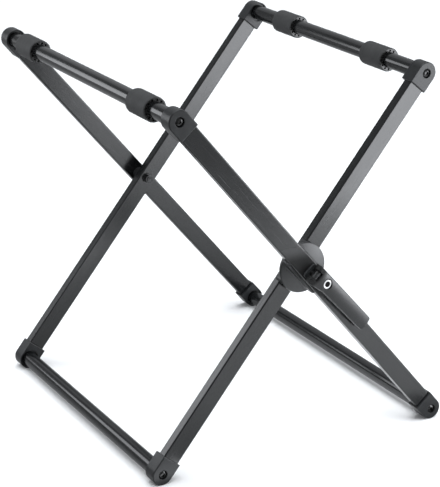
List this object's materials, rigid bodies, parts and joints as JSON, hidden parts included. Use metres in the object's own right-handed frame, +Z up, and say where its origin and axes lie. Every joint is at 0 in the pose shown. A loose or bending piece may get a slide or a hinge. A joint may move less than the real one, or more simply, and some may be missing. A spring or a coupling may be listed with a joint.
{
  "type": "folding drum stand",
  "caption": "Folding scissor stand for a marching drum: crossed tube frames, round top rails with rubber sleeves, and a cam lever that clamps the pivot.",
  "frame": {"origin": "on the floor, under the middle of the stand's box", "axes": "+Z up; the rails run along Y, with the cam lever on the -Y side; the inner frame's top rail is on the +X side"},
  "size_m": [0.519, 0.5928, 0.5971],
  "materials": {
    "leg_paint": "satin powder coat",
    "rail_paint": "gloss paint",
    "cap_plastic": "fine grain",
    "sleeve_rubber": "matte",
    "clutch_plastic": "satin moulded",
    "lever_plastic": "satin moulded",
    "lining": "fibre lining",
    "bush_nylon": "natural nylon",
    "black_steel": "black oxide",
    "zinc_steel": "bright zinc",
    "disc_paint": "plain satin"
  },
  "bodies": {
    "outer_frame": {"outer_leg_near": "leg_paint", "outer_leg_far": "leg_paint", "outer_top_rail": "rail_paint", "outer_bottom_rail": "rail_paint", "outer_top_cap_near": "cap_plastic", "outer_top_cap_far": "cap_plastic", "outer_bottom_cap_near": "cap_plastic", "outer_bottom_cap_far": "cap_plastic", "outer_cap_screws": "black_steel", "outer_leg_spacers": "zinc_steel", "outer_rail_plugs": "zinc_steel", "clutch_plate": "clutch_plastic", "release_spring": "zinc_steel", "cam_saddle": "lever_plastic", "outer_near_spacer": "zinc_steel", "outer_far_spacer": "zinc_steel", "pivot_spacer": "clutch_plastic", "pivot_bolt": "black_steel", "pivot_washer": "black_steel", "pivot_nut": "black_steel"},
    "inner_frame": {"inner_leg_near": "leg_paint", "inner_leg_far": "leg_paint", "inner_top_rail": "rail_paint", "inner_bottom_rail": "rail_paint", "inner_top_cap_near": "cap_plastic", "inner_top_cap_far": "cap_plastic", "inner_bottom_cap_near": "cap_plastic", "inner_bottom_cap_far": "cap_plastic", "inner_cap_screws": "black_steel", "inner_leg_spacers": "zinc_steel", "inner_rail_plugs": "zinc_steel", "clutch_cup": "clutch_plastic", "friction_disc": "lining", "inner_near_bush": "bush_nylon", "inner_far_bush": "bush_nylon"},
    "clamp_bolt": {"clamp_bolt": "zinc_steel", "clamp_nut": "black_steel", "clamp_washer": "black_steel", "lever_pin": "zinc_steel"},
    "cam_lever": {"cam_lever": "lever_plastic", "lever_disc": "disc_paint"},
    "outer_sleeve_near": {"outer_sleeve_near": "sleeve_rubber"},
    "outer_sleeve_far": {"outer_sleeve_far": "sleeve_rubber"},
    "inner_sleeve_near": {"inner_sleeve_near": "sleeve_rubber"},
    "inner_sleeve_far": {"inner_sleeve_far": "sleeve_rubber"}
  },
  "joints": [
    {"name": "fold", "type": "hinge", "parent": "outer_frame", "child": "inner_frame", "pos_m": [0, 0.00749, 0.30765], "axis": [0, -1, 0], "range_deg": [-16, 73]},
    {"name": "clamp_release", "type": "slide", "parent": "outer_frame", "child": "clamp_bolt", "axis": [0, 1, 0], "range_m": [0, 0.00185]},
    {"name": "lever_swing", "type": "hinge", "parent": "clamp_bolt", "child": "cam_lever", "pos_m": [0, -0.28811, 0.30765], "axis": [-0.7385, 0, -0.6743], "range_deg": [0, 100]},
    {"name": "outer_sleeve_near_slide", "type": "slide", "parent": "outer_frame", "child": "outer_sleeve_near", "axis": [0, 1, 0], "range_m": [-0.046, 0.157]},
    {"name": "outer_sleeve_far_slide", "type": "slide", "parent": "outer_frame", "child": "outer_sleeve_far", "axis": [0, 1, 0], "range_m": [-0.1675, 0.0355]},
    {"name": "inner_sleeve_near_slide", "type": "slide", "parent": "inner_frame", "child": "inner_sleeve_near", "axis": [0, 1, 0], "range_m": [-0.071, 0.1]},
    {"name": "inner_sleeve_far_slide", "type": "slide", "parent": "inner_frame", "child": "inner_sleeve_far", "axis": [0, 1, 0], "range_m": [-0.099, 0.072]}
  ],
  "couplings": [
    {"joint": "clamp_release", "follows": "lever_swing", "m_per_rad": 0.0010542}
  ]
}
